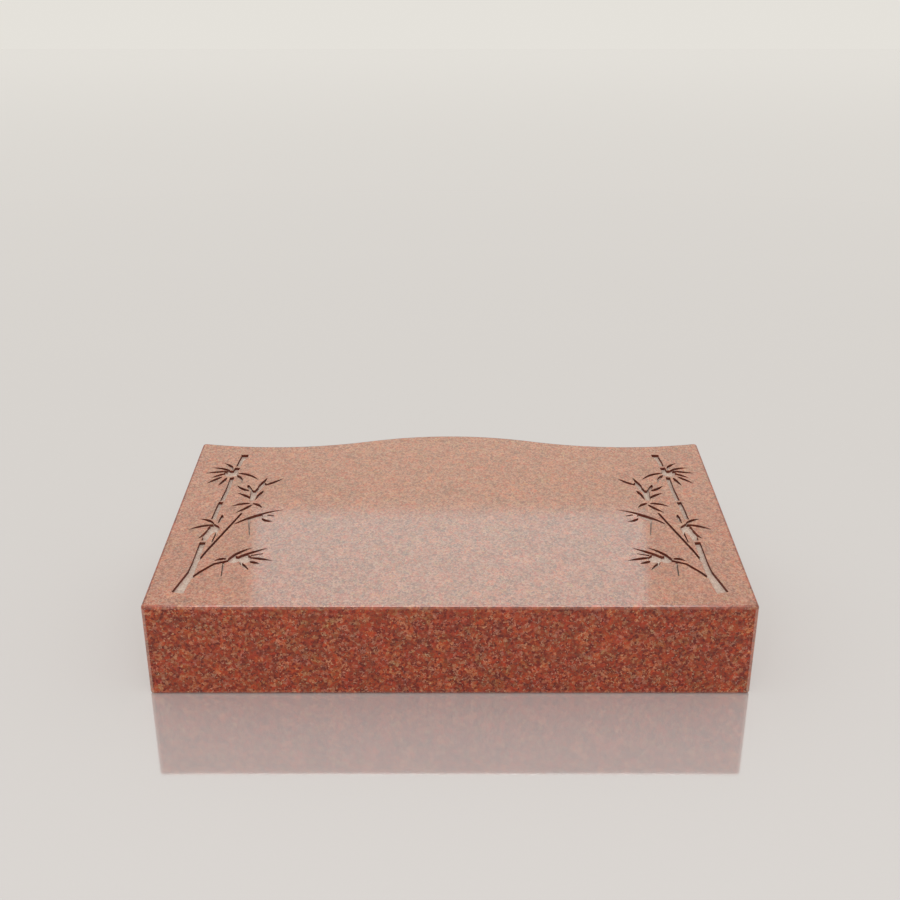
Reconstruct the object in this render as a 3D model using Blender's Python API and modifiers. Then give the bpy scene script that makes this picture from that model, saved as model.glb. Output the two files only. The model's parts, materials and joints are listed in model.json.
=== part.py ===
"""A bevel grave marker: one block of red granite with a sloping top, a serpentine back and a bamboo spray
sunk into each end of the top.

The frame has +Z up and the front face towards -Y, with the origin at the middle of the stone's
rectangle on the ground. All sizes are in metres.
"""

import math

import bmesh
import bpy
from mathutils import Matrix, Vector

MM = 0.001

# The block.
WIDTH = 609.6 * MM
CORNER_DEPTH = 304.8 * MM
FRONT_HEIGHT = 101.6 * MM
BACK_HEIGHT = 152.4 * MM
CORNER_ROUND = 4.0 * MM
EDGE_ROUND = 3.0 * MM

# The serpentine back: a crown in the middle, a dip on each side of it, and shoulders up to the corners.
CROWN_RISE = 25.4 * MM
DIP_FROM_SIDE = 89.8 * MM
CROWN_SHARE = 0.46
CURVE_STEP = math.radians(1.6)
CORNER_STEP = math.radians(15.0)
ROUND_SEGMENTS = 3

# The bamboo spray at the right end, which is mirrored to the left. It is drawn below in a drawing's own
# millimetres, from the culm's foot inwards along the stone and then up the slope, and is scaled to fill
# the slope between its two margins.
SPRAY_FROM_SIDE = 25.5 * MM
SPRAY_FROM_FRONT = 22.0 * MM
SPRAY_FROM_BACK = 28.0 * MM
CARVING_DEPTH = 3.5 * MM
CUTTER_ABOVE = 2 * CARVING_DEPTH
LEAF_WIDTH = 3.9
LEAF_STATIONS = 7
LEAF_BELLY = 0.38
KNOT_SIDES = 16

# The culm is cut in stretches, with a thin bridge at each joint. Each stretch lists inwards, up and width
# from its foot to its top.
CULM = (
    ((6.4, -0.6, 12.6), (13.4, 33.0, 7.6), (14.1, 50.0, 6.4), (14.9, 83.2, 6.6)),
    ((15.8, 86.0, 6.0), (17.2, 97.0, 8.0), (20.0, 106.0, 9.0)),
    ((18.0, 125.0, 5.2), (19.4, 149.0, 5.4), (20.4, 158.5, 5.4)),
    ((21.2, 161.0, 5.2), (23.4, 187.0, 5.0), (23.8, 207.0, 5.2), (23.3, 209.2, 5.6)),
    ((24.0, 212.4, 5.6), (26.6, 230.2, 6.6)),
    ((26.8, 232.8, 5.2), (28.0, 246.0, 5.6), (30.8, 255.2, 8.4), (30.6, 259.0, 9.2)),
)

# Branches, twigs and the hollows along them, with inwards, up and width along each one.
BRANCHES = (
    ((16.2, 48.5, 2.4), (22.4, 68.5, 2.8), (40.6, 118.0, 2.8), (47.4, 137.0, 2.6)),
    ((15.4, 22.6, 2.8), (22.5, 32.6, 3.2), (34.0, 45.6, 3.2), (48.4, 51.0, 3.4)),
    ((54.7, 161.5, 4.8), (54.6, 171.0, 7.4), (54.2, 182.0, 8.0)),
    ((56.8, 179.6, 5.6), (61.0, 190.5, 5.0), (64.6, 197.5, 4.0)),
    ((26.6, 104.0, 2.2), (24.6, 83.0, 1.2)),
    ((57.4, 124.0, 2.2), (62.8, 96.0, 1.2)),
    ((76.4, 133.4, 2.2), (84.4, 131.2, 1.6)),
    ((70.2, 60.0, 2.2), (82.6, 63.2, 1.4)),
    ((43.8, 48.0, 2.2), (45.6, 26.0, 1.2)),
    ((56.5, 123.6, 4.4), (64.5, 128.6, 5.6), (71.5, 132.2, 4.4)),
)

# Where leaves spring together the whole knot is sunk: inwards, up, width and height.
KNOTS = (
    (20.8, 217.6, 17.6, 13.0),
    (21.6, 107.4, 13.2, 15.0),
    (53.6, 53.4, 13.0, 12.0),
    (64.6, 54.4, 14.6, 14.0),
)

# The leaves of each fan: root inwards, root up, heading in degrees, length, and bow to the left as a
# share of the length.
LEAVES = {
    "top fan": (
        (21.6, 224.4, 131.0, 20.5, -0.15),
        (20.5, 221.5, 162.0, 26.0, -0.1),
        (16.0, 222.6, 190.0, 26.0, 0.0),
        (14.6, 217.4, 211.5, 17.5, -0.02),
        (12.4, 211.0, 222.0, 22.0, 0.0),
        (17.8, 208.6, 246.0, 18.5, 0.03),
        (29.0, 218.0, -29.0, 30.0, 0.11),
        (26.6, 214.8, -59.0, 21.0, 0.12),
    ),
    "upper fan": (
        (45.0, 193.6, -57.5, 17.0, -0.07),
        (57.4, 189.0, 68.0, 21.5, -0.03),
        (49.0, 180.6, 145.0, 20.0, 0.07),
        (53.6, 164.8, 147.0, 22.0, -0.05),
        (63.8, 192.4, 36.0, 25.0, -0.04),
        (65.0, 181.6, 250.5, 20.5, -0.03),
    ),
    "middle fan": (
        (54.2, 156.0, 196.5, 22.5, -0.07),
        (56.6, 153.6, 224.5, 23.5, 0.03),
        (56.4, 156.0, -38.0, 15.5, 0.1),
    ),
    "side fan": (
        (20.8, 115.8, 151.5, 20.5, -0.12),
        (20.0, 116.8, -52.5, 15.5, -0.02),
        (21.0, 115.0, 199.8, 28.5, -0.06),
        (16.2, 106.8, 244.0, 19.5, 0.1),
        (26.8, 134.0, 262.0, 17.5, 0.05),
    ),
    "long twig": (
        (42.2, 115.4, 28.4, 59.5, 0.07),
        (71.2, 126.8, -21.0, 14.5, -0.15),
    ),
    "low fan": (
        (46.0, 54.2, 196.0, 13.5, -0.12),
        (47.8, 53.8, 41.0, 30.5, 0.075),
        (56.0, 57.0, 28.0, 35.0, 0.01),
        (70.0, 56.4, -12.0, 25.0, 0.01),
        (70.0, 50.0, -18.5, 12.5, 0.0),
        (60.6, 48.2, -47.5, 17.0, 0.0),
    ),
}

GRANITE_COLOUR = (0.30, 0.085, 0.055, 1.0)
GRANITE_ROUGHNESS = 0.18


def clear_scene():
    """Removes every object, so that the script can be run again."""
    for old in list(bpy.data.objects):
        bpy.data.objects.remove(old, do_unlink=True)


def collection(name, hidden=False):
    """A collection of this name in the scene."""
    made = bpy.data.collections.get(name) or bpy.data.collections.new(name)
    if made.name not in bpy.context.scene.collection.children:
        bpy.context.scene.collection.children.link(made)
    made.hide_render = hidden
    return made


def granite():
    """Polished red granite."""
    made = bpy.data.materials.new("red_granite")
    made.use_nodes = True
    shader = made.node_tree.nodes["Principled BSDF"]
    shader.inputs["Base Color"].default_value = GRANITE_COLOUR
    shader.inputs["Roughness"].default_value = GRANITE_ROUGHNESS
    shader.inputs["Metallic"].default_value = 0.0
    return made


def prism(name, outline, low, high, place):
    """A closed mesh object with a flat outline, standing from low to high."""
    curve = bpy.data.curves.new(name, "CURVE")
    curve.dimensions = "2D"
    curve.fill_mode = "BOTH"
    curve.extrude = (high - low) / 2
    spline = curve.splines.new("POLY")
    spline.points.add(len(outline) - 1)
    for point, (x, y) in zip(spline.points, outline, strict=True):
        point.co = (x, y, 0.0, 1.0)
    spline.use_cyclic_u = True
    flat = bpy.data.objects.new(name, curve)
    place.objects.link(flat)
    graph = bpy.context.evaluated_depsgraph_get()
    mesh = bpy.data.meshes.new_from_object(flat.evaluated_get(graph), depsgraph=graph)
    bpy.data.objects.remove(flat, do_unlink=True)
    mesh.name = name
    tidy(mesh, (low + high) / 2)
    made = bpy.data.objects.new(name, mesh)
    place.objects.link(made)
    return made


def tidy(mesh, lift):
    """Welds a prism's caps to its sides, makes each cap one face and lifts it to its height."""
    shape = bmesh.new()
    shape.from_mesh(mesh)
    bmesh.ops.remove_doubles(shape, verts=shape.verts, dist=0.001 * MM)
    bmesh.ops.dissolve_limit(
        shape, angle_limit=math.radians(0.1), verts=shape.verts, edges=shape.edges
    )
    bmesh.ops.translate(shape, verts=shape.verts, vec=(0.0, 0.0, lift))
    bmesh.ops.recalc_face_normals(shape, faces=shape.faces)
    shape.to_mesh(mesh)
    shape.free()


def arc(centre, radius, start, end, step):
    """Points on a circle from one angle to another, both ends included, no further apart than step."""
    count = max(1, math.ceil(abs(end - start) / step - 1e-9))
    angles = [start + (end - start) * i / count for i in range(count + 1)]
    return [(centre[0] + radius * math.cos(a), centre[1] + radius * math.sin(a)) for a in angles]


class Serpentine:
    """The back edge in plan: a crown arc tangent to two shoulder arcs, measured from the front face."""

    def __init__(self):
        self.dip = WIDTH / 2 - DIP_FROM_SIDE
        radii = (self.dip**2 + CROWN_RISE**2) / (2 * CROWN_RISE)
        self.crown_radius = radii * CROWN_SHARE
        self.shoulder_radius = radii - self.crown_radius
        self.lean = math.asin(self.dip / radii)
        hollow = self.shoulder_radius - math.sqrt(self.shoulder_radius**2 - DIP_FROM_SIDE**2)
        self.dip_depth = CORNER_DEPTH - hollow
        self.crest_depth = self.dip_depth + CROWN_RISE

    def shoulder_centre(self):
        """The middle of the right shoulder's circle, which lies behind the stone."""
        return (self.dip, self.dip_depth + self.shoulder_radius)

    def corner_fillet(self):
        """The middle of the circle that rounds the right back corner, and the angle where it meets
        the shoulder."""
        x = WIDTH / 2 - CORNER_ROUND
        centre = self.shoulder_centre()
        reach = self.shoulder_radius + CORNER_ROUND
        y = centre[1] - math.sqrt(reach**2 - (x - centre[0]) ** 2)
        return (x, y), math.atan2(centre[1] - y, centre[0] - x)

    def right_half(self):
        """Points from the right side's end, round the corner and along to the crest."""
        fillet, turn = self.corner_fillet()
        points = arc(fillet, CORNER_ROUND, 0.0, turn, CORNER_STEP)
        start = turn - math.pi
        end = -math.pi / 2 - self.lean
        points += arc(self.shoulder_centre(), self.shoulder_radius, start, end, CURVE_STEP)[1:]
        crown = (0.0, self.crest_depth - self.crown_radius)
        upright = math.pi / 2
        points += arc(crown, self.crown_radius, upright - self.lean, upright, CURVE_STEP)[1:]
        return points


def stone_outline(back):
    """The stone in plan, anticlockwise from the front face's middle."""
    front = arc(
        (WIDTH / 2 - CORNER_ROUND, CORNER_ROUND), CORNER_ROUND, -math.pi / 2, 0.0, CORNER_STEP
    )
    right = front + back.right_half()
    left = [(-x, y) for x, y in reversed(right[:-1])]
    shift = back.crest_depth / 2
    return [(x, y - shift) for x, y in right + left]


def slope_angle():
    """How steeply the top rises towards the back."""
    return math.atan2(BACK_HEIGHT - FRONT_HEIGHT, CORNER_DEPTH)


def slope_frame(back):
    """The sloping top's own frame: X along the stone, Y up the slope from the front edge, Z out of it."""
    corner = Vector((0.0, -back.crest_depth / 2, FRONT_HEIGHT))
    return Matrix.Translation(corner) @ Matrix.Rotation(slope_angle(), 4, "X")


def block(back, place):
    """The stone before its carving: the outline stood up, sawn off along the slope and rounded."""
    tallest = FRONT_HEIGHT + back.crest_depth * math.tan(slope_angle()) + CUTTER_ABOVE
    made = prism("marker_stone", stone_outline(back), 0.0, tallest, place)
    slope = slope_frame(back)
    shape = bmesh.new()
    shape.from_mesh(made.data)
    everything = shape.verts[:] + shape.edges[:] + shape.faces[:]
    up = slope.to_3x3() @ Vector((0.0, 0.0, 1.0))
    sawn = bmesh.ops.bisect_plane(
        shape, geom=everything, plane_co=slope.translation, plane_no=up, clear_outer=True
    )
    rim = [piece for piece in sawn["geom_cut"] if isinstance(piece, bmesh.types.BMEdge)]
    bmesh.ops.edgeloop_fill(shape, edges=rim)
    bmesh.ops.recalc_face_normals(shape, faces=shape.faces)
    shape.to_mesh(made.data)
    shape.free()
    rounding = made.modifiers.new("rounded edges", "BEVEL")
    rounding.width = EDGE_ROUND
    rounding.segments = ROUND_SEGMENTS
    rounding.limit_method = "ANGLE"
    rounding.angle_limit = math.radians(50.0)
    rounding.use_clamp_overlap = False
    return made


def ribbon_outline(path):
    """The outline of a strip that follows a path of (inwards, up, width), square at both ends."""
    places = [Vector(point[:2]) for point in path]
    left, right = [], []
    for i, (place, point) in enumerate(zip(places, path, strict=True)):
        ahead = places[min(i + 1, len(places) - 1)]
        behind = places[max(i - 1, 0)]
        along = (ahead - behind).normalized()
        side = Vector((-along.y, along.x)) * point[2] / 2
        left.append(place + side)
        right.append(place - side)
    return right + left[::-1]


def leaf_outline(inwards, up, heading, length, bow):
    """The outline of a leaf that runs from its root to a sharp tip, bowed to its left."""
    along = Vector((math.cos(math.radians(heading)), math.sin(math.radians(heading))))
    side = Vector((-along.y, along.x))
    root = Vector((inwards, up))
    shares = [i / LEAF_STATIONS for i in range(LEAF_STATIONS + 1)]
    spine = [root + along * length * t + side * length * bow * 4 * t * (1 - t) for t in shares]
    taper = LEAF_BELLY / (1 - LEAF_BELLY)
    fullest = LEAF_BELLY**taper * (1 - LEAF_BELLY)
    halves = [LEAF_WIDTH / 2 * t**taper * (1 - t) / fullest for t in shares]
    inner = range(1, LEAF_STATIONS)
    right = [spine[i] - side * halves[i] for i in inner]
    left = [spine[i] + side * halves[i] for i in reversed(inner)]
    return [spine[0], *right, spine[-1], *left]


def knot_outline(inwards, up, width, height):
    """An oval hollow where leaves spring together."""
    angles = [2 * math.pi * i / KNOT_SIDES for i in range(KNOT_SIDES)]
    return [(inwards + width / 2 * math.cos(a), up + height / 2 * math.sin(a)) for a in angles]


def spray_outlines():
    """Every shape that the spray sinks into the stone, in its drawing's millimetres."""
    outlines = [ribbon_outline(path) for path in CULM + BRANCHES]
    outlines += [knot_outline(*knot) for knot in KNOTS]
    for group in LEAVES.values():
        outlines += [leaf_outline(*leaf) for leaf in group]
    return outlines


def spray_cutter(place):
    """One closed body that holds the whole right-hand spray, flat in the slope's own frame."""
    slope_length = math.hypot(CORNER_DEPTH, BACK_HEIGHT - FRONT_HEIGHT)
    drawn_top = CULM[-1][-1][1]
    scale = (slope_length - SPRAY_FROM_FRONT - SPRAY_FROM_BACK) / drawn_top
    foot = WIDTH / 2 - SPRAY_FROM_SIDE
    pieces = []
    for i, outline in enumerate(spray_outlines()):
        laid = [(foot - a * scale, SPRAY_FROM_FRONT + b * scale) for a, b in outline]
        pieces.append(prism(f"spray_piece_{i}", laid, -CARVING_DEPTH, CUTTER_ABOVE, place))
    whole = pieces[0]
    others = bpy.data.collections.new("spray pieces")
    for piece in pieces[1:]:
        others.objects.link(piece)
    union = whole.modifiers.new("joined", "BOOLEAN")
    union.operation = "UNION"
    union.operand_type = "COLLECTION"
    union.collection = others
    graph = bpy.context.evaluated_depsgraph_get()
    mesh = bpy.data.meshes.new_from_object(whole.evaluated_get(graph), depsgraph=graph)
    for piece in pieces:
        bpy.data.objects.remove(piece, do_unlink=True)
    bpy.data.collections.remove(others)
    made = bpy.data.objects.new("spray_cutter", mesh)
    place.objects.link(made)
    return made


def carve(stone, back, place):
    """Sinks the spray into the right end of the top and its mirror image into the left end."""
    cutter = spray_cutter(place)
    cutter.data.transform(slope_frame(back))
    mirror = cutter.modifiers.new("both ends", "MIRROR")
    mirror.use_axis = (True, False, False)
    mirror.use_mirror_merge = False
    cutter.hide_render = True
    cutter.display_type = "WIRE"
    cut = stone.modifiers.new("bamboo sprays", "BOOLEAN")
    cut.operation = "DIFFERENCE"
    cut.object = cutter


def main():
    """Builds the marker."""
    clear_scene()
    parts = collection("bevel grave marker")
    cutters = collection("cutters", hidden=True)
    back = Serpentine()
    stone = block(back, parts)
    carve(stone, back, cutters)
    stone.data.materials.append(granite())
    stone.data.shade_smooth()
    stone.data.set_sharp_from_angle(angle=math.radians(30.0))


if __name__ == "__main__":
    main()
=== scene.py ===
"""Dresses the red granite bevel grave marker.

The stone is polished on its front, sides and sloping top, honed on its serpentine back and sawn underneath.
A bamboo spray is sandblasted into each end of the top. A pale floor and soft lamps stand round it.
"""

from __future__ import annotations

import json
import logging
import math
from dataclasses import dataclass, field
from enum import Enum
from typing import Any

import bmesh
import bpy
from mathutils import Matrix, Vector, noise

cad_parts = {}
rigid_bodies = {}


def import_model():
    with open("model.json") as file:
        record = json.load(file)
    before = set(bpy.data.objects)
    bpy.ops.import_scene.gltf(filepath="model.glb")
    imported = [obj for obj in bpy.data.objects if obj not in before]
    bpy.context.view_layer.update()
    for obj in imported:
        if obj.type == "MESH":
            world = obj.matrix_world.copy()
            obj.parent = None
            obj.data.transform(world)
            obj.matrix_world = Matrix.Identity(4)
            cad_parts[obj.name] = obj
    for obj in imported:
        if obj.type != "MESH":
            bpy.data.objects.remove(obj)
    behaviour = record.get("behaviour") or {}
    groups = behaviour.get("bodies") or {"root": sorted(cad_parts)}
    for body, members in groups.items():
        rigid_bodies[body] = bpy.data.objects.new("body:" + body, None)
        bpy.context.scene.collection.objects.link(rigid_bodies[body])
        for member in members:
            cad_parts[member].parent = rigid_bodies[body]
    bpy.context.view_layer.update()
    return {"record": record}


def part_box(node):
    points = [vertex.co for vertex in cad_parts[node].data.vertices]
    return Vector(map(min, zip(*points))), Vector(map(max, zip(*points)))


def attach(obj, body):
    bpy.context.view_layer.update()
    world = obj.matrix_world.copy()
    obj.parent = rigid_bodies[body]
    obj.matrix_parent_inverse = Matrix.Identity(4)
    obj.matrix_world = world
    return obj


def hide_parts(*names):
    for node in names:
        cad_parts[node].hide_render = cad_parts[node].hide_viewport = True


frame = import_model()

NODE = "marker_stone"
PANEL_MOUNT = "inscription_panel"
MM = 0.001
CLOSE = 0.00001
SPRAY_FROM_SIDE = 25.5 * MM
FLAT = 0.999
LEVEL = 0.99
STEEP = 0.05
REARWARD = 0.7
PLUMB = 0.01
SQUARE_ANGLE = math.radians(50.0)
SHARP_ANGLE = math.radians(32.0)

Point = tuple[float, float]
Colour = tuple[float, float, float, float]

log = logging.getLogger("marker")


def from_screen(red: int, green: int, blue: int) -> Colour:
    """A linear colour from the 0 to 255 values that a screen shows.

    Args:
        red: The red value.
        green: The green value.
        blue: The blue value.

    Returns:
        The linear colour with an alpha of 1.
    """
    shares = [value / 255 for value in (red, green, blue)]
    linear = [s / 12.92 if s <= 0.04045 else ((s + 0.055) / 1.055) ** 2.4 for s in shares]
    return (linear[0], linear[1], linear[2], 1.0)


class Strand:
    """A node's output that can be used in arithmetic, each step of which adds a Math node."""

    def __init__(self, bench: Bench, socket: bpy.types.NodeSocket) -> None:
        """Keeps the output and the tree that it belongs to."""
        self.bench = bench
        self.socket = socket

    def _math(self, operation: str, *values: Strand | float) -> Strand:
        """Adds a Math node with this operation on the values."""
        inputs = dict(enumerate(values))
        return self.bench.output("ShaderNodeMath", {"operation": operation}, inputs)

    def __add__(self, other: Strand | float) -> Strand:
        """The sum."""
        return self._math("ADD", self, other)

    def __sub__(self, other: Strand | float) -> Strand:
        """The difference."""
        return self._math("SUBTRACT", self, other)

    def __rsub__(self, other: float) -> Strand:
        """The difference, with a number on the left."""
        return self._math("SUBTRACT", other, self)

    def __mul__(self, other: Strand | float) -> Strand:
        """The product."""
        return self._math("MULTIPLY", self, other)

    def __truediv__(self, other: Strand | float) -> Strand:
        """The quotient."""
        return self._math("DIVIDE", self, other)

    def __pow__(self, other: Strand | float) -> Strand:
        """The power."""
        return self._math("POWER", self, other)

    def at_least(self, low: float) -> Strand:
        """The value, or low where it is less."""
        return self._math("MAXIMUM", self, low)

    def wrapped(self) -> Strand:
        """The part after the decimal point."""
        return self._math("FRACT", self)


class Bench:
    """A node tree with the one method that adds nodes to it."""

    def __init__(self, tree: bpy.types.NodeTree) -> None:
        """Keeps the tree."""
        self.tree = tree

    def node(
        self,
        kind: str,
        settings: dict[str, Any] | None = None,
        inputs: dict[str | int, Any] | None = None,
    ) -> bpy.types.Node:
        """Adds a node.

        Args:
            kind: The node's type.
            settings: Its properties, set first. A ramp's are its stops, as (place, colour) pairs.
            inputs: A Strand to link or a value to set, by the socket's name or index.

        Returns:
            The node.
        """
        made = self.tree.nodes.new(kind)
        for name, value in (settings or {}).items():
            if name == "stops":
                self._set_stops(made.color_ramp, value)
            else:
                setattr(made, name, value)
        for name, value in (inputs or {}).items():
            if isinstance(value, Strand):
                self.tree.links.new(value.socket, made.inputs[name])
            else:
                made.inputs[name].default_value = value
        return made

    @staticmethod
    def _set_stops(ramp: bpy.types.ColorRamp, stops: list[tuple[float, Colour]]) -> None:
        """Gives a ramp its stops and steps from one to the next without blending."""
        ramp.interpolation = "CONSTANT"
        while len(ramp.elements) < len(stops):
            ramp.elements.new(1.0)
        for element, (place, colour) in zip(ramp.elements, stops, strict=True):
            element.position = place
            element.color = colour

    def output(
        self,
        kind: str,
        settings: dict[str, Any] | None = None,
        inputs: dict[str | int, Any] | None = None,
        name: str | int = 0,
    ) -> Strand:
        """Adds a node and gives one of its outputs.

        Args:
            kind: The node's type.
            settings: Its properties.
            inputs: What its sockets take.
            name: The output's name or index.

        Returns:
            The output.
        """
        return Strand(self, self.node(kind, settings, inputs).outputs[name])

    def blend(
        self, one: Strand | Colour, other: Strand | Colour, share: Strand | float, mode: str = "MIX"
    ) -> Strand:
        """Mixes two colours.

        Args:
            one: The colour at a share of 0.
            other: The colour at a share of 1.
            share: How much of the other is mixed in.
            mode: The Mix node's blend type.

        Returns:
            The mixed colour.
        """
        settings = {"data_type": "RGBA", "blend_type": mode}
        return self.output("ShaderNodeMix", settings, {0: share, 6: one, 7: other}, 2)

    def vector(self, operation: str, one: Strand, other: Strand | tuple[float, float, float]) -> Strand:
        """Adds a Vector Math node."""
        return self.output("ShaderNodeVectorMath", {"operation": operation}, {0: one, 1: other})


@dataclass(frozen=True)
class Mineral:
    """One of the granite's minerals, with the share of the grains that it makes up."""

    colour: Colour
    share: float


class Minerals(Enum):
    """What the red granite is made of, from its darkest grains to its palest."""

    BIOTITE = Mineral(from_screen(110, 26, 6), 0.16)
    DEEP_FELDSPAR = Mineral(from_screen(138, 40, 9), 0.14)
    SMOKY_QUARTZ = Mineral(from_screen(140, 70, 42), 0.11)
    BRICK_FELDSPAR = Mineral(from_screen(159, 52, 14), 0.17)
    SCARLET_FELDSPAR = Mineral(from_screen(171, 56, 24), 0.08)
    ORANGE_FELDSPAR = Mineral(from_screen(167, 78, 38), 0.12)
    ROSY_FELDSPAR = Mineral(from_screen(175, 101, 72), 0.16)
    CREAM_QUARTZ = Mineral(from_screen(186, 128, 98), 0.06)


@dataclass(frozen=True)
class Surface:
    """How a tool leaves the granite.

    Attributes:
        roughness: The shader's roughness.
        dust_and_sheen: How far the colour turns towards crushed grain; on the polished top and the upright
            corners that turn is painted sheen.
        frost_and_glint: How much that share varies from crystal to crystal, which on the polished top makes
            painted glints.
        powder_and_sheen_colour: The colour of the crushed grain; on the polished top it is the colour of
            the painted sheen.
        painted_shade: How far it then turns towards the painted shade of an unlit cut.
        relief: The height of the surface's bumps in metres.
        relief_size: The width of those bumps in metres.
    """

    roughness: float
    dust_and_sheen: float = 0.0
    frost_and_glint: float = 0.0
    powder_and_sheen_colour: Colour = from_screen(226, 206, 192)
    painted_shade: float = 0.0
    relief: float = 0.0
    relief_size: float = 0.001


class Finish(Enum):
    """The finishes on the stone, in the order of its material slots."""

    POLISHED = Surface(roughness=0.08)
    # Painted sheen: the top's colour turns crystal by crystal towards a pale pink that stands in for the
    # polish's reflection.
    POLISHED_TOP = Surface(roughness=0.08, dust_and_sheen=0.30, frost_and_glint=0.60, powder_and_sheen_colour=from_screen(197, 142, 126))
    EASED_EDGE = Surface(roughness=0.16, dust_and_sheen=0.08)
    # The upright corners' paler colour is partly a lighter eased finish and partly a painted reflection.
    EASED_CORNER = Surface(roughness=0.20, dust_and_sheen=0.22)
    BLASTED_FLOOR = Surface(roughness=0.85, dust_and_sheen=0.80, frost_and_glint=0.42, relief=0.0008, relief_size=0.0011)
    # Painted shade: the walls' colour turns towards a dark brown, for cuts that face away from the light.
    BLASTED_WALL = Surface(roughness=0.85, painted_shade=0.80, relief=0.0002, relief_size=0.0009)
    HONED = Surface(roughness=0.38, dust_and_sheen=0.12, relief=0.00004, relief_size=0.0012)
    SAWN = Surface(roughness=0.75, dust_and_sheen=0.34, relief=0.0002, relief_size=0.0016)


@dataclass(frozen=True)
class RedGranite:
    """The red granite, a mass of interlocking grains that runs right through the stone.

    Attributes:
        grain: The width of a grain in metres.
        flake: The width of the finer flakes inside the grains.
        warp: How far a grain's outline strays.
        clump: The width of the clumps where one hue gathers.
        cloud: The width of the patches where one tone gathers.
        crystal: The width of the crystals that crushing lays bare, and of the painted glints on the
            polished top.
        flake_pick: How far a flake sways which mineral its grain is.
        clump_hue: How strongly the clumps' hues tint the grains.
        fine_tone: The flakes' lowest tone and its range.
        broad_tone: The clumps' lowest tone and its range.
        cloud_tone: The patches' lowest tone and its range.
        painted_shade: The colour of the painted shade on the carving's walls, the dark of a cut that faces
            away from the light.
    """

    grain: float = 2.8 * MM
    flake: float = 1.25 * MM
    warp: float = 1.1 * MM
    clump: float = 8.0 * MM
    cloud: float = 18.0 * MM
    crystal: float = 1.6 * MM
    flake_pick: float = 0.3
    clump_hue: float = 0.24
    fine_tone: Point = (0.92, 0.2)
    broad_tone: Point = (0.9, 0.2)
    cloud_tone: Point = (0.7, 0.6)
    painted_shade: Colour = from_screen(88, 30, 14)

    def colour(self, bench: Bench, place: Strand) -> Strand:
        """The grains' colour.

        Args:
            bench: The material's tree.
            place: The place in the stone.

        Returns:
            The colour.
        """
        wander = self._pattern(bench, "ShaderNodeTexNoise", place, self.grain)
        shift = bench.vector("SUBTRACT", wander, (0.5, 0.5, 0.5))
        moved = bench.vector("ADD", place, bench.vector("MULTIPLY", shift, (2 * self.warp,) * 3))
        grains = self._pattern(bench, "ShaderNodeTexVoronoi", moved, self.grain)
        flakes = self._pattern(bench, "ShaderNodeTexVoronoi", moved, self.flake)
        clumps = self._pattern(bench, "ShaderNodeTexVoronoi", moved, self.clump)
        cloud = self._pattern(bench, "ShaderNodeTexNoise", place, self.cloud, "Fac")
        sway = self._channel(bench, flakes, "Red") * self.flake_pick
        pick = (self._channel(bench, grains, "Red") + sway).wrapped()
        minerals = bench.output("ShaderNodeValToRGB", {"stops": self._stops()}, {"Fac": pick}, "Color")
        fine = self._channel(bench, flakes, "Green") * self.fine_tone[1] + self.fine_tone[0]
        broad = self._channel(bench, clumps, "Green") * self.broad_tone[1] + self.broad_tone[0]
        tone = fine * broad * (cloud * self.cloud_tone[1] + self.cloud_tone[0])
        grey = bench.output("ShaderNodeCombineColor", None, {"Red": tone, "Green": tone, "Blue": tone})
        tinted = bench.blend(minerals, clumps, self.clump_hue, "MULTIPLY")
        return bench.blend(tinted, grey, 1.0, "MULTIPLY")

    @staticmethod
    def _pattern(bench: Bench, kind: str, place: Strand, size: float, name: str = "Color") -> Strand:
        """A texture whose cells have this size."""
        return bench.output(kind, None, {"Vector": place, "Scale": 1 / size}, name)

    @staticmethod
    def _channel(bench: Bench, colour: Strand, name: str) -> Strand:
        """One channel of a colour."""
        return bench.output("ShaderNodeSeparateColor", None, {"Color": colour}, name)

    @staticmethod
    def _stops() -> list[tuple[float, Colour]]:
        """A ramp that gives each mineral its share of the grains."""
        stops = []
        start = 0.0
        for mineral in Minerals:
            stops.append((start, mineral.value.colour))
            start += mineral.value.share
        return stops

    def material(self, finish: Finish) -> bpy.types.Material:
        """The granite as one tool leaves it.

        Args:
            finish: The tool's finish.

        Returns:
            The material.
        """
        surface = finish.value
        made = bpy.data.materials.new(f"granite_{finish.name.lower()}")
        made.use_nodes = True
        bench = Bench(made.node_tree)
        shader = made.node_tree.nodes["Principled BSDF"]
        place = bench.output("ShaderNodeTexCoord", None, None, "Object")
        colour = self.colour(bench, place)
        # Crushed grain on the blasted, honed, sawn and eased faces; on the polished top and the upright
        # corners this blend is painted sheen.
        if surface.dust_and_sheen:
            crystals = self._pattern(bench, "ShaderNodeTexVoronoi", place, self.crystal)
            flecks_and_glints = self._channel(bench, crystals, "Red") ** 2 * surface.frost_and_glint
            share = flecks_and_glints + (surface.dust_and_sheen - surface.frost_and_glint / 3)
            colour = bench.blend(colour, surface.powder_and_sheen_colour, share)
        # Painted shade: the carving's walls turn towards a dark brown in their colour.
        if surface.painted_shade:
            colour = bench.blend(colour, self.painted_shade, surface.painted_shade)
        made.node_tree.links.new(colour.socket, shader.inputs["Base Color"])
        shader.inputs["Roughness"].default_value = surface.roughness
        if surface.relief:
            scale = 1 / surface.relief_size
            height = bench.output("ShaderNodeTexNoise", None, {"Vector": place, "Scale": scale}, "Fac")
            bump = {"Distance": surface.relief, "Height": height}
            normal = bench.output("ShaderNodeBump", None, bump, "Normal")
            made.node_tree.links.new(normal.socket, shader.inputs["Normal"])
        return made


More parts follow.
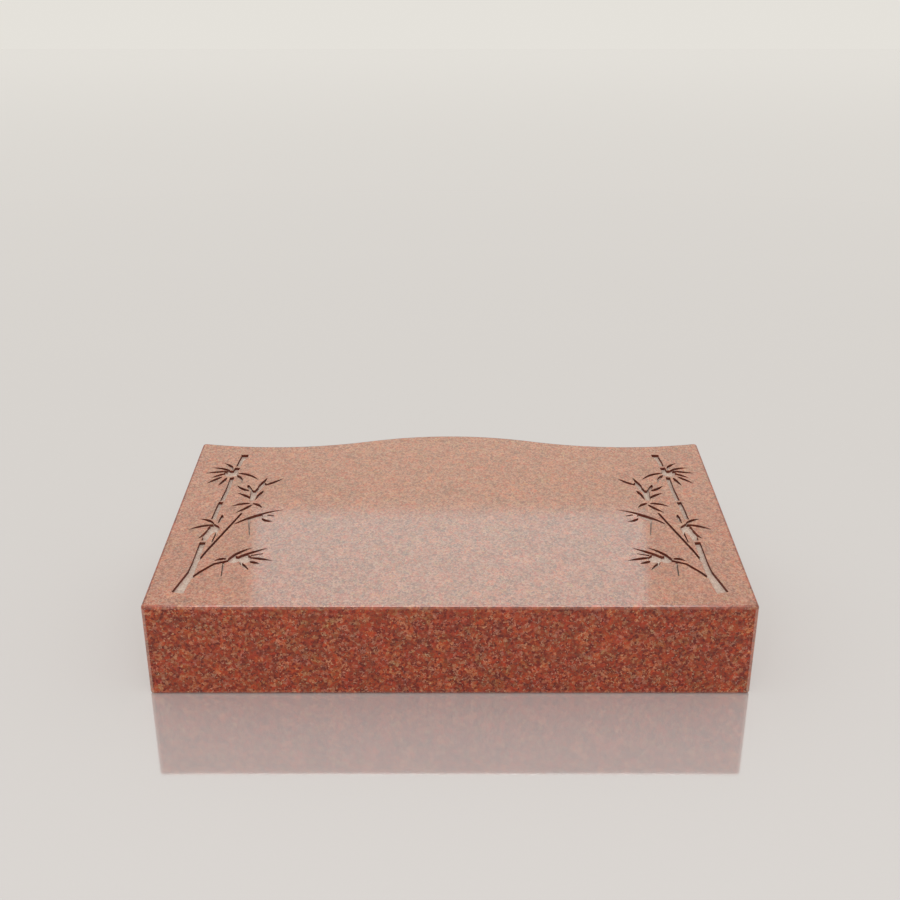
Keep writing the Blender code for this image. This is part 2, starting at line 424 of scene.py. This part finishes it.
@dataclass(frozen=True)
class SlopingTop:
    """The plane of the polished top, as the record's panel mount gives it."""

    point: Vector
    normal: Vector

    @classmethod
    def from_record(cls, record: dict[str, Any], name: str) -> SlopingTop:
        """Reads the plane from a mount.

        Args:
            record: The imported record.
            name: The mount's name.

        Returns:
            The plane.
        """
        mount = next(mount for mount in record["mounts"] if mount["name"] == name)
        return cls(Vector(mount["pos_m"]), Vector(mount["axis"]).normalized())

    @property
    def pitch(self) -> float:
        """How steeply the top rises towards the back, in radians."""
        return math.atan2(-self.normal.y, self.normal.z)

    def height(self, y: float) -> float:
        """The top's height at a place from front to back."""
        return self.point.z + (y - self.point.y) * math.tan(self.pitch)

    def axes(self, y: float) -> Matrix:
        """The top's own frame from y: X along the stone, Y up the slope and Z out of it."""
        return Matrix.Translation((0.0, y, self.height(y))) @ Matrix.Rotation(self.pitch, 4, "X")

    def depth(self, place: Vector) -> float:
        """How far a place lies below the plane."""
        return (self.point - place).dot(self.normal)


def arc(centre: Point, radius: float, start: float, end: float, step: float) -> list[Point]:
    """Points on a circle.

    Args:
        centre: The circle's middle.
        radius: Its radius.
        start: The angle of the first point.
        end: The angle of the last point.
        step: The largest angle from one point to the next.

    Returns:
        The points, both ends included.
    """
    count = max(1, math.ceil(abs(end - start) / step - CLOSE))
    angles = [start + (end - start) * i / count for i in range(count + 1)]
    return [(centre[0] + radius * math.cos(a), centre[1] + radius * math.sin(a)) for a in angles]


def prism(name: str, outline: list[Point], low: float, high: float) -> bpy.types.Mesh:
    """A closed mesh with a flat outline.

    Args:
        name: The mesh's name.
        outline: The outline's points.
        low: The height of its lower cap.
        high: The height of its upper cap.

    Returns:
        The mesh.
    """
    shape = bmesh.new()
    lower, upper = ([shape.verts.new((x, y, z)) for x, y in outline] for z in (low, high))
    shape.faces.new(lower)
    shape.faces.new(upper)
    for i in range(len(outline)):
        shape.faces.new((lower[i - 1], lower[i], upper[i], upper[i - 1]))
    bmesh.ops.recalc_face_normals(shape, faces=shape.faces)
    mesh = bpy.data.meshes.new(name)
    shape.to_mesh(mesh)
    shape.free()
    return mesh


def evaluated_mesh(piece: bpy.types.Object) -> bpy.types.Mesh:
    """A plain mesh of an object with its modifiers applied."""
    graph = bpy.context.evaluated_depsgraph_get()
    return bpy.data.meshes.new_from_object(piece.evaluated_get(graph), depsgraph=graph)


@dataclass
class Block:
    """The uncarved stone: straight in front and at the sides, with a serpentine back and rounded edges.

    Attributes:
        low: The stone's lowest corner.
        high: Its highest corner.
        top: The plane of its sloping top.
        dip_from_side: How far in from each side the back's dips lie.
        crown_rise: How far the back's crown stands beyond the dips.
        crown_share: The crown's part of the two radii, the rest being the shoulder's.
        corner_round: The radius of the four upright corners.
        edge_round: The radius of the other edges.
        edge_segments: How many facets round such an edge.
        curve_step: The largest turn between two points of the back.
        corner_step: The largest turn between two points of an upright corner.
    """

    low: Vector
    high: Vector
    top: SlopingTop
    dip_from_side: float = 89.8 * MM
    crown_rise: float = 25.4 * MM
    crown_share: float = 0.46
    corner_round: float = 4.0 * MM
    edge_round: float = 3.0 * MM
    edge_segments: int = 6
    curve_step: float = math.radians(0.8)
    corner_step: float = math.radians(7.5)

    @property
    def half_width(self) -> float:
        """Half of the stone's width."""
        return self.high.x

    @property
    def dip(self) -> float:
        """How far from the middle the dips lie."""
        return self.half_width - self.dip_from_side

    @property
    def radii(self) -> float:
        """The crown's and the shoulder's radius together, for which the two arcs meet smoothly."""
        return (self.dip**2 + self.crown_rise**2) / (2 * self.crown_rise)

    @property
    def shoulder_radius(self) -> float:
        """The radius of the hollow between a dip and its corner."""
        return self.radii * (1 - self.crown_share)

    @property
    def corner_depth(self) -> float:
        """The stone's depth from front to back at its corners."""
        hollow = self.shoulder_radius - math.sqrt(self.shoulder_radius**2 - self.dip_from_side**2)
        return self.high.y - self.low.y - self.crown_rise + hollow

    def outline(self) -> list[Point]:
        """The stone in plan, anticlockwise from the front face's middle."""
        round_x = self.half_width - self.corner_round
        front = (round_x, self.low.y + self.corner_round)
        right = arc(front, self.corner_round, -math.pi / 2, 0.0, self.corner_step)
        shoulder = (self.dip, self.high.y - self.crown_rise + self.shoulder_radius)
        reach = self.shoulder_radius + self.corner_round
        fillet = (round_x, shoulder[1] - math.sqrt(reach**2 - (round_x - shoulder[0]) ** 2))
        turn = math.atan2(shoulder[1] - fillet[1], shoulder[0] - fillet[0])
        lean = math.asin(self.dip / self.radii)
        right += arc(fillet, self.corner_round, 0.0, turn, self.corner_step)
        hollow_end = -math.pi / 2 - lean
        right += arc(shoulder, self.shoulder_radius, turn - math.pi, hollow_end, self.curve_step)[1:]
        crown_radius = self.radii * self.crown_share
        crown = (0.0, self.high.y - crown_radius)
        right += arc(crown, crown_radius, math.pi / 2 - lean, math.pi / 2, self.curve_step)[1:]
        return right + [(-x, y) for x, y in reversed(right[:-1])]

    def mesh(self) -> bpy.types.Mesh:
        """The block's mesh: the outline stood up, sawn off along the slope and rounded."""
        made = prism("block", self.outline(), self.low.z, self.high.z + self.crown_rise)
        shape = bmesh.new()
        shape.from_mesh(made)
        everything = shape.verts[:] + shape.edges[:] + shape.faces[:]
        sawn = bmesh.ops.bisect_plane(
            shape,
            geom=everything,
            plane_co=self.top.point,
            plane_no=self.top.normal,
            clear_outer=True,
        )
        rim = [piece for piece in sawn["geom_cut"] if isinstance(piece, bmesh.types.BMEdge)]
        bmesh.ops.edgeloop_fill(shape, edges=rim)
        bmesh.ops.recalc_face_normals(shape, faces=shape.faces)
        square = [edge for edge in shape.edges if edge.calc_face_angle() > SQUARE_ANGLE]
        bmesh.ops.bevel(
            shape,
            geom=square,
            offset=self.edge_round,
            segments=self.edge_segments,
            profile=0.5,
            affect="EDGES",
            clamp_overlap=False,
        )
        shape.to_mesh(made)
        shape.free()
        return made


@dataclass(frozen=True)
class Leaf:
    """A bamboo leaf in the spray's drawing, in millimetres inwards and up from the culm's foot.

    Attributes:
        inward: Its root's place inwards along the stone.
        up: Its root's place up the slope.
        heading: The way that it points, in degrees anticlockwise from inwards.
        length: Its length.
        bow: How far its middle strays to its left, as a share of its length.
    """

    inward: float
    up: float
    heading: float
    length: float
    bow: float


@dataclass(frozen=True)
class Knot:
    """An oval hollow where leaves spring together, in the drawing's millimetres."""

    inward: float
    up: float
    width: float
    height: float


Stalk = tuple[tuple[float, float, float], ...]

CULM: tuple[Stalk, ...] = (
    ((6.4, -0.6, 12.6), (13.4, 33.0, 7.6), (14.1, 50.0, 6.4), (14.9, 83.2, 6.6)),
    ((15.8, 86.0, 6.0), (17.2, 97.0, 8.0), (20.0, 106.0, 9.0)),
    ((18.0, 125.0, 5.2), (19.4, 149.0, 5.4), (20.4, 158.5, 5.4)),
    ((21.2, 161.0, 5.2), (23.4, 187.0, 5.0), (23.8, 207.0, 5.2), (23.3, 209.2, 5.6)),
    ((24.0, 212.4, 5.6), (26.6, 230.2, 6.6)),
    ((26.8, 232.8, 5.2), (28.0, 246.0, 5.6), (30.8, 255.2, 8.4), (30.6, 259.0, 9.2)),
)

BRANCHES: tuple[Stalk, ...] = (
    ((16.2, 48.5, 2.4), (22.4, 68.5, 2.8), (40.6, 118.0, 2.8), (47.4, 137.0, 2.6)),
    ((15.4, 22.6, 2.8), (22.5, 32.6, 3.2), (34.0, 45.6, 3.2), (48.4, 51.0, 3.4)),
    ((54.7, 161.5, 4.8), (54.6, 171.0, 7.4), (54.2, 182.0, 8.0)),
    ((56.8, 179.6, 5.6), (61.0, 190.5, 5.0), (64.6, 197.5, 4.0)),
    ((26.6, 104.0, 2.2), (24.6, 83.0, 1.2)),
    ((57.4, 124.0, 2.2), (62.8, 96.0, 1.2)),
    ((76.4, 133.4, 2.2), (84.4, 131.2, 1.6)),
    ((70.2, 60.0, 2.2), (82.6, 63.2, 1.4)),
    ((43.8, 48.0, 2.2), (45.6, 26.0, 1.2)),
    ((56.5, 123.6, 4.4), (64.5, 128.6, 5.6), (71.5, 132.2, 4.4)),
)

KNOTS = (
    Knot(20.8, 217.6, 17.6, 13.0),
    Knot(21.6, 107.4, 13.2, 15.0),
    Knot(53.6, 53.4, 13.0, 12.0),
    Knot(64.6, 54.4, 14.6, 14.0),
)

TOP_FAN = (
    Leaf(21.6, 224.4, 131.0, 20.5, -0.15),
    Leaf(20.5, 221.5, 162.0, 26.0, -0.1),
    Leaf(16.0, 222.6, 190.0, 26.0, 0.0),
    Leaf(14.6, 217.4, 211.5, 17.5, -0.02),
    Leaf(12.4, 211.0, 222.0, 22.0, 0.0),
    Leaf(17.8, 208.6, 246.0, 18.5, 0.03),
    Leaf(29.0, 218.0, -29.0, 30.0, 0.11),
    Leaf(26.6, 214.8, -59.0, 21.0, 0.12),
)
UPPER_FAN = (
    Leaf(45.0, 193.6, -57.5, 17.0, -0.07),
    Leaf(57.4, 189.0, 68.0, 21.5, -0.03),
    Leaf(49.0, 180.6, 145.0, 20.0, 0.07),
    Leaf(53.6, 164.8, 147.0, 22.0, -0.05),
    Leaf(63.8, 192.4, 36.0, 25.0, -0.04),
    Leaf(65.0, 181.6, 250.5, 20.5, -0.03),
)
MIDDLE_FAN = (
    Leaf(54.2, 156.0, 196.5, 22.5, -0.07),
    Leaf(56.6, 153.6, 224.5, 23.5, 0.03),
    Leaf(56.4, 156.0, -38.0, 15.5, 0.1),
)
SIDE_FAN = (
    Leaf(20.8, 115.8, 151.5, 20.5, -0.12),
    Leaf(20.0, 116.8, -52.5, 15.5, -0.02),
    Leaf(21.0, 115.0, 199.8, 28.5, -0.06),
    Leaf(16.2, 106.8, 244.0, 19.5, 0.1),
    Leaf(26.8, 134.0, 262.0, 17.5, 0.05),
)
LONG_TWIG = (
    Leaf(42.2, 115.4, 28.4, 59.5, 0.07),
    Leaf(71.2, 126.8, -21.0, 14.5, -0.15),
)
LOW_FAN = (
    Leaf(46.0, 54.2, 196.0, 13.5, -0.12),
    Leaf(47.8, 53.8, 41.0, 30.5, 0.075),
    Leaf(56.0, 57.0, 28.0, 35.0, 0.01),
    Leaf(70.0, 56.4, -12.0, 25.0, 0.01),
    Leaf(70.0, 50.0, -18.5, 12.5, 0.0),
    Leaf(60.6, 48.2, -47.5, 17.0, 0.0),
)


@dataclass
class LeafCutter:
    """A node tree that shapes one leaf-shaped cutter from its length and bow.

    Attributes:
        width: The leaf's greatest width in metres.
        belly: Where along the leaf that width lies, as a share of the length.
        low: The height of the cutter's lower face.
        high: The height of its upper face.
        finish: The material of its faces.
        stations: How many rows of points it has from root to tip.
    """

    width: float
    low: float
    high: float
    finish: bpy.types.Material
    belly: float = 0.38
    stations: int = 19
    tree: bpy.types.NodeTree = field(init=False)

    def __post_init__(self) -> None:
        """Builds the tree."""
        self.tree = bpy.data.node_groups.new("bamboo leaf", "GeometryNodeTree")
        faces = self.tree.interface
        for name in ("Length", "Bow", "Width", "Low", "High"):
            faces.new_socket(name, in_out="INPUT", socket_type="NodeSocketFloat")
        faces.new_socket("Geometry", in_out="OUTPUT", socket_type="NodeSocketGeometry")
        bench = Bench(self.tree)
        sizes = bench.node("NodeGroupInput")
        length, bow, width, low, high = (Strand(bench, sizes.outputs[i]) for i in range(5))
        grid = {"Size X": 1.0, "Size Y": 1.0, "Vertices X": self.stations, "Vertices Y": 3}
        sheet = bench.output("GeometryNodeMeshGrid", None, grid, "Mesh")
        spot = bench.output("GeometryNodeInputPosition")
        split = bench.node("ShaderNodeSeparateXYZ", None, {"Vector": spot})
        along = (Strand(bench, split.outputs["X"]) + 0.5).at_least(0.0)
        side = Strand(bench, split.outputs["Y"]) * 2.0
        taper = self.belly / (1 - self.belly)
        fullest = self.belly**taper * (1 - self.belly)
        half = width / (2 * fullest) * along**taper * (1 - along)
        sway = length * bow * 4.0 * along * (1 - along)
        ends = {"X": along * length, "Y": sway + side * half, "Z": low}
        target = bench.output("ShaderNodeCombineXYZ", None, ends)
        shaped = bench.output("GeometryNodeSetPosition", None, {"Geometry": sheet, "Position": target})
        welded = self._welded(bench, shaped)
        rise = bench.output("ShaderNodeCombineXYZ", None, {"Z": high - low})
        walls = {"Mesh": welded, "Offset": rise, "Offset Scale": 1.0, "Individual": False}
        raised = bench.output("GeometryNodeExtrudeMesh", {"mode": "FACES"}, walls, "Mesh")
        under = bench.output("GeometryNodeFlipFaces", None, {"Mesh": welded})
        joined = bench.node("GeometryNodeJoinGeometry")
        for part in (raised, under):
            self.tree.links.new(part.socket, joined.inputs[0])
        closed = self._welded(bench, Strand(bench, joined.outputs[0]))
        real = bench.output("GeometryNodeRealizeInstances", None, {"Geometry": closed})
        dressing = {"Geometry": real, "Material": self.finish}
        dressed = bench.output("GeometryNodeSetMaterial", None, dressing)
        bench.node("NodeGroupOutput", None, {"Geometry": dressed})

    @staticmethod
    def _welded(bench: Bench, geometry: Strand) -> Strand:
        """The geometry with its coincident points made one."""
        merge = {"Geometry": geometry, "Distance": CLOSE}
        return bench.output("GeometryNodeMergeByDistance", None, merge)

    def mesh(self, leaf: Leaf, scale: float) -> bpy.types.Mesh:
        """One leaf's cutter, turned and placed in the drawing's frame.

        Args:
            leaf: The leaf.
            scale: Metres for each millimetre of the drawing.

        Returns:
            The mesh.
        """
        holder = bpy.data.objects.new("leaf", bpy.data.meshes.new("leaf"))
        bpy.context.scene.collection.objects.link(holder)
        shaper = holder.modifiers.new("leaf", "NODES")
        shaper.node_group = self.tree
        sizes = {
            "Length": leaf.length * scale,
            "Bow": leaf.bow,
            "Width": self.width,
            "Low": self.low,
            "High": self.high,
        }
        for item in self.tree.interface.items_tree:
            if item.in_out == "INPUT":
                shaper[item.identifier] = sizes[item.name]
        mesh = evaluated_mesh(holder)
        bpy.data.objects.remove(holder)
        root = Matrix.Translation((leaf.inward * scale, leaf.up * scale, 0.0))
        mesh.transform(root @ Matrix.Rotation(math.radians(leaf.heading), 4, "Z"))
        return mesh


@dataclass
class BambooSpray:
    """A culm of bamboo with its branches and fans of leaves, sunk into the left end of the top.

    Attributes:
        slope_length: The length of the top from front to back at its corners.
        foot: How far from the stone's middle the culm's outer foot stands.
        from_front: The margin below the culm's foot.
        from_back: The margin above the culm's top.
        depth: How deep the spray is sunk.
        leaf_width: The leaves' width in the drawing's millimetres.
        knot_sides: How many sides a knot's oval has.
    """

    slope_length: float
    foot: float
    from_front: float = 22.0 * MM
    from_back: float = 28.0 * MM
    depth: float = 3.5 * MM
    leaf_width: float = 3.9
    knot_sides: int = 36

    @property
    def scale(self) -> float:
        """Metres for each millimetre of the drawing."""
        drawn_top = CULM[-1][-1][1]
        return (self.slope_length - self.from_front - self.from_back) / drawn_top

    def stalk_outline(self, stalk: Stalk) -> list[Point]:
        """The outline of a strip that follows a stalk, square at both ends."""
        spots = [Vector(station[:2]) for station in stalk]
        near: list[Point] = []
        far: list[Point] = []
        for i, (spot, station) in enumerate(zip(spots, stalk, strict=True)):
            ahead = spots[min(i + 1, len(spots) - 1)]
            along = (ahead - spots[max(i - 1, 0)]).normalized()
            side = Vector((-along.y, along.x)) * station[2] / 2
            near.append(tuple((spot - side) * self.scale))
            far.append(tuple((spot + side) * self.scale))
        return near + far[::-1]

    def knot_outline(self, knot: Knot) -> list[Point]:
        """The outline of a knot's hollow."""
        turns = [2 * math.pi * i / self.knot_sides for i in range(self.knot_sides)]
        return [
            (
                (knot.inward + knot.width / 2 * math.cos(turn)) * self.scale,
                (knot.up + knot.height / 2 * math.sin(turn)) * self.scale,
            )
            for turn in turns
        ]

    def cutters(self, axes: Matrix, finish: bpy.types.Material) -> list[bpy.types.Mesh]:
        """The closed bodies that are sunk into both ends of the top.

        Args:
            axes: The top's own frame from its front edge.
            finish: The leaves' material.

        Returns:
            The left spray's cutters and their mirror images.
        """
        above = 2 * self.depth
        outlines = [self.stalk_outline(stalk) for stalk in CULM + BRANCHES]
        outlines += [self.knot_outline(knot) for knot in KNOTS]
        meshes = [prism("stalk", outline, -self.depth, above) for outline in outlines]
        shaper = LeafCutter(self.leaf_width * self.scale, -self.depth, above, finish)
        fans = TOP_FAN + UPPER_FAN + MIDDLE_FAN + SIDE_FAN + LONG_TWIG + LOW_FAN
        meshes += [shaper.mesh(leaf, self.scale) for leaf in fans]
        for mesh in meshes:
            mesh.transform(axes @ Matrix.Translation((-self.foot, self.from_front, 0.0)))
        twins = [mesh.copy() for mesh in meshes]
        for twin in twins:
            twin.transform(Matrix.Scale(-1.0, 4, (1.0, 0.0, 0.0)))
            twin.flip_normals()
        return meshes + twins


@dataclass
class CarvedMarker:
    """The finished stone: the block with both sprays sunk into it and every face dressed.

    Attributes:
        block: The uncarved stone.
        spray: The spray at its left end.
        granite: What it is made of.
        pitting: How far the blasted floors rise and fall.
        pit_size: The width of their hollows.
        mesh_size: The longest edge in their mesh.
        rounds: How often that mesh is cut finer at most.
    """

    block: Block
    spray: BambooSpray
    granite: RedGranite
    pitting: float = 0.30 * MM
    pit_size: float = 2.2 * MM
    mesh_size: float = 1.3 * MM
    rounds: int = 6

    def build(self) -> bpy.types.Object:
        """Carves and dresses the stone.

        Returns:
            The finished piece.
        """
        stone = bpy.data.objects.new("carved_marker", self.block.mesh())
        bpy.context.scene.collection.objects.link(stone)
        dressed = {finish: self.granite.material(finish) for finish in Finish}
        self._sink_sprays(stone, dressed[Finish.BLASTED_WALL])
        self._finish_faces(stone.data)
        for material in dressed.values():
            stone.data.materials.append(material)
        self._settle_normals(stone)
        return stone

    def _sink_sprays(self, stone: bpy.types.Object, finish: bpy.types.Material) -> None:
        """Cuts both sprays into the top."""
        tools = bpy.data.collections.new("cutters")
        for mesh in self.spray.cutters(self.block.top.axes(self.block.low.y), finish):
            tools.objects.link(bpy.data.objects.new("cutter", mesh))
        cut = stone.modifiers.new("sprays", "BOOLEAN")
        cut.operation = "DIFFERENCE"
        cut.operand_type = "COLLECTION"
        cut.solver = "MANIFOLD"
        cut.collection = tools
        carved = evaluated_mesh(stone)
        carved.materials.clear()
        stone.modifiers.clear()
        stone.data = carved
        for tool in list(tools.objects):
            bpy.data.objects.remove(tool)
        bpy.data.collections.remove(tools)

    def _finish_of(self, face: bmesh.types.BMFace) -> Finish:
        """The finish that a face gets from where it lies and the way it looks."""
        top = self.block.top
        depth = top.depth(face.calc_center_median())
        level = face.normal.dot(top.normal)
        near_floor = abs(depth - self.spray.depth) < self.spray.depth / 2
        if near_floor and level > LEVEL:
            return Finish.BLASTED_FLOOR
        if abs(level) < STEEP and self._inside_top(face):
            return Finish.BLASTED_WALL
        if face.normal.z < -LEVEL:
            return Finish.SAWN
        if face.normal.y > REARWARD and abs(face.normal.z) < PLUMB:
            return Finish.HONED
        if level > FLAT:
            return Finish.POLISHED_TOP
        if max(-face.normal.y, abs(face.normal.x)) > FLAT:
            return Finish.POLISHED
        return Finish.EASED_CORNER if abs(face.normal.z) < STEEP else Finish.EASED_EDGE

    def _inside_top(self, face: bmesh.types.BMFace) -> bool:
        """Whether a face lies within the spray's depth of the top and away from the stone's edges."""
        middle = face.calc_center_median()
        inset = self.block.half_width - abs(middle.x)
        shallow = self.block.top.depth(middle) < self.spray.depth
        return shallow and inset > 2 * self.block.corner_round and middle.y > self.block.low.y + 0.01

    def _finish_faces(self, mesh: bpy.types.Mesh) -> None:
        """Gives each face its finish, and the blasted floors their pitted surface."""
        shape = bmesh.new()
        shape.from_mesh(mesh)
        bmesh.ops.remove_doubles(shape, verts=shape.verts, dist=CLOSE)
        order = list(Finish)
        for face in shape.faces:
            face.material_index = order.index(self._finish_of(face))
        floor_index = order.index(Finish.BLASTED_FLOOR)
        self._refine(shape, floor_index, order.index(Finish.BLASTED_WALL))
        self._pit(shape, floor_index)
        open_edges = sum(not edge.is_manifold for edge in shape.edges)
        log.info("carved stone: %d faces, %d open edges", len(shape.faces), open_edges)
        shape.to_mesh(mesh)
        shape.free()

    @staticmethod
    def _split(shape: bmesh.types.BMesh, slots: tuple[int, ...]) -> list[bmesh.types.BMFace]:
        """Splits faces into triangles and clears away the slivers among them.

        Args:
            shape: The stone.
            slots: The material slots of the faces to split.

        Returns:
            The triangles.
        """
        faces = [face for face in shape.faces if face.material_index in slots]
        bmesh.ops.triangulate(shape, faces=faces, quad_method="BEAUTY", ngon_method="BEAUTY")
        faces = [face for face in shape.faces if face.material_index in slots]
        edges = dict.fromkeys(edge for face in faces for edge in face.edges)
        bmesh.ops.dissolve_degenerate(shape, edges=list(edges), dist=CLOSE)
        return [face for face in shape.faces if face.material_index in slots]

    def _refine(self, shape: bmesh.types.BMesh, floor_index: int, wall_index: int) -> None:
        """Cuts the floors into small triangles.

        Args:
            shape: The stone.
            floor_index: The floors' material slot.
            wall_index: The walls' material slot.
        """
        for _ in range(self.rounds):
            floors = self._split(shape, (floor_index,))
            edges = dict.fromkeys(edge for face in floors for edge in face.edges)
            inner = [e for e in edges if all(f.material_index == floor_index for f in e.link_faces)]
            bmesh.ops.beautify_fill(shape, faces=floors, edges=inner, method="ANGLE")
            floors = [face for face in shape.faces if face.material_index == floor_index]
            edges = dict.fromkeys(edge for face in floors for edge in face.edges)
            long = [edge for edge in edges if edge.calc_length() > self.mesh_size]
            if not long:
                break
            bmesh.ops.subdivide_edges(shape, edges=long, cuts=1)
        self._split(shape, (floor_index, wall_index))

    def _pit(self, shape: bmesh.types.BMesh, floor_index: int) -> None:
        """Moves the floors' inner points up and down."""
        normal = self.block.top.normal
        for vertex in shape.verts:
            if all(face.material_index == floor_index for face in vertex.link_faces):
                rise = noise.noise(vertex.co / self.pit_size) * self.pitting
                vertex.co += normal * rise

    @staticmethod
    def _settle_normals(stone: bpy.types.Object) -> None:
        """Shades the rounded edges smoothly while the flat faces stay flat."""
        stone.data.shade_smooth()
        stone.data.set_sharp_from_angle(angle=SHARP_ANGLE)
        weighting = stone.modifiers.new("flat faces", "WEIGHTED_NORMAL")
        weighting.keep_sharp = True
        weighted = evaluated_mesh(stone)
        stone.modifiers.clear()
        stone.data = weighted


class LampUse(Enum):
    """What a lamp is for."""

    FILL = "it lights what it falls on and isn't mirrored"
    SHEEN = "it is only mirrored in the stone"


@dataclass(frozen=True)
class Softbox:
    """A soft lamp that faces the stone.

    Attributes:
        name: The lamp's name.
        azimuth: Its direction from the stone in degrees, 0 behind it and 90 to its right.
        elevation: Its height above the horizon in degrees.
        distance: How far it stands from the target.
        width: Its width.
        height: Its height.
        radiance: How bright its face is, seen straight on.
        tint: Its colour.
        use: What it is for.
        spread: The angle that its light keeps within, in degrees.
    """

    name: str
    azimuth: float
    elevation: float
    distance: float
    width: float
    height: float
    radiance: float
    tint: tuple[float, float, float] = (1.0, 1.0, 1.0)
    use: LampUse = LampUse.SHEEN
    spread: float = 90.0

    @property
    def energy(self) -> float:
        """The lamp's power, which a narrow spread gathers into the middle."""
        half = math.radians(self.spread / 2)
        return self.radiance * math.pi * self.width * self.height * (1 - half / math.tan(half))

    def stand(self, target: Vector, receivers: bpy.types.Collection) -> None:
        """Places the lamp.

        Args:
            target: What it faces.
            receivers: What it is mirrored in.
        """
        lamp = bpy.data.lights.new(self.name, "AREA")
        lamp.shape = "RECTANGLE"
        lamp.size = self.width
        lamp.size_y = self.height
        lamp.spread = math.radians(self.spread)
        lamp.color = self.tint
        lamp.energy = self.energy
        holder = bpy.data.objects.new(self.name, lamp)
        bpy.context.scene.collection.objects.link(holder)
        turn, lift = math.radians(self.azimuth), math.radians(self.elevation)
        away = Vector((math.sin(turn) * math.cos(lift), math.cos(turn) * math.cos(lift), math.sin(lift)))
        holder.location = target + away * self.distance
        holder.rotation_euler = away.to_track_quat("Z", "Y").to_euler()
        holder.visible_camera = False
        holder.visible_glossy = self.use is LampUse.SHEEN
        holder.visible_diffuse = self.use is LampUse.FILL
        if self.use is LampUse.SHEEN:
            holder.light_linking.receiver_collection = receivers


@dataclass
class Studio:
    """The floor, the lamps, the sky and the camera.

    Attributes:
        target: The middle of the stone's front bottom edge, from which the camera is placed.
        camera_back: How far in front of the stone the camera stands.
        camera_height: How high it stands.
        camera_tilt: How far it looks down, in degrees.
        focal_pixels: Its focal length in pixels.
        frame_pixels: The picture's width and height in pixels.
        axis_row: The row of pixels that its axis meets.
        floor_size: The floor's length and width.
        floor_colour: The floor's colour.
        floor_mirror: How much the floor mirrors.
        floor_roughness: How blurred its mirror image is.
        sky: The colour of the light from all round.
        lamps: The lamps.
    """

    target: Vector
    camera_back: float = 0.8967
    camera_height: float = 0.6366
    camera_tilt: float = 20.70
    focal_pixels: float = 1046.6
    frame_pixels: float = 900.0
    axis_row: float = 420.0
    floor_size: float = 60.0
    floor_colour: Colour = (0.815, 0.80, 0.815, 1.0)
    floor_mirror: float = 0.50
    floor_roughness: float = 0.06
    sky: Colour = (0.78, 0.755, 0.705, 1.0)
    lamps: tuple[Softbox, ...] = (
        Softbox("veil", 0.0, 54.0, 1.6, 1.60, 1.30, 2.8, (0.97, 1.0, 0.75), spread=80.0),
        Softbox("window", 0.0, 54.0, 1.5, 0.92, 0.54, 1.8, (0.27, 0.75, 0.92), spread=179.0),
        Softbox("overhead", 180.0, 80.0, 1.6, 1.30, 1.16, 8.0, (1.0, 0.98, 0.95), spread=179.0),
        Softbox("front", 180.0, 40.0, 2.6, 2.20, 1.20, 2.1, use=LampUse.FILL, spread=179.0),
    )

    def set_camera(self) -> None:
        """Places the camera."""
        lens = bpy.data.cameras.new("camera")
        lens.lens = self.focal_pixels / self.frame_pixels * lens.sensor_width
        lens.shift_y = (self.axis_row - self.frame_pixels / 2) / self.frame_pixels
        lens.clip_end = 2 * self.floor_size
        holder = bpy.data.objects.new("camera", lens)
        bpy.context.scene.collection.objects.link(holder)
        holder.location = self.target + Vector((0.0, -self.camera_back, self.camera_height))
        holder.rotation_euler = (math.radians(90.0 - self.camera_tilt), 0.0, 0.0)
        bpy.context.scene.camera = holder

    def lay_floor(self) -> bpy.types.Object:
        """The pale floor, which mirrors a little.

        Returns:
            The floor.
        """
        mesh = bpy.data.meshes.new("floor")
        shape = bmesh.new()
        bmesh.ops.create_grid(shape, x_segments=1, y_segments=1, size=self.floor_size / 2)
        shape.to_mesh(mesh)
        shape.free()
        floor = bpy.data.objects.new("floor", mesh)
        bpy.context.scene.collection.objects.link(floor)
        paint = bpy.data.materials.new("pale_floor")
        paint.use_nodes = True
        shader = paint.node_tree.nodes["Principled BSDF"]
        shader.inputs["Base Color"].default_value = self.floor_colour
        shader.inputs["Roughness"].default_value = self.floor_roughness
        shader.inputs["Metallic"].default_value = self.floor_mirror
        mesh.materials.append(paint)
        return floor

    def light(self, receivers: bpy.types.Collection) -> None:
        """Stands the lamps and colours the sky."""
        for lamp in self.lamps:
            lamp.stand(self.target, receivers)
        world = bpy.data.worlds.new("sky")
        world.use_nodes = True
        bpy.context.scene.world = world
        world.node_tree.nodes["Background"].inputs["Color"].default_value = self.sky
        bpy.context.scene.view_settings.view_transform = "Standard"


def main() -> None:
    """Builds the studio and the stone, and hands the stone to the frame."""
    logging.basicConfig(level=logging.INFO, format="%(message)s")
    low, high = (Vector(corner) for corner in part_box(NODE))
    top = SlopingTop.from_record(frame["record"], PANEL_MOUNT)
    high.z = top.height(high.y)
    studio = Studio(Vector((0.0, low.y, 0.0)))
    studio.set_camera()
    studio.lay_floor()
    block = Block(low, high, top)
    spray = BambooSpray(block.corner_depth / math.cos(top.pitch), block.half_width - SPRAY_FROM_SIDE)
    marker = CarvedMarker(block, spray, RedGranite()).build()
    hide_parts(NODE)
    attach(marker, "root")
    log.info("piece %s rides root: %d faces", marker.name, len(marker.data.polygons))
    lit = bpy.data.collections.new("lit stone")
    lit.objects.link(marker)
    studio.light(lit)


if __name__ == "__main__":
    main()
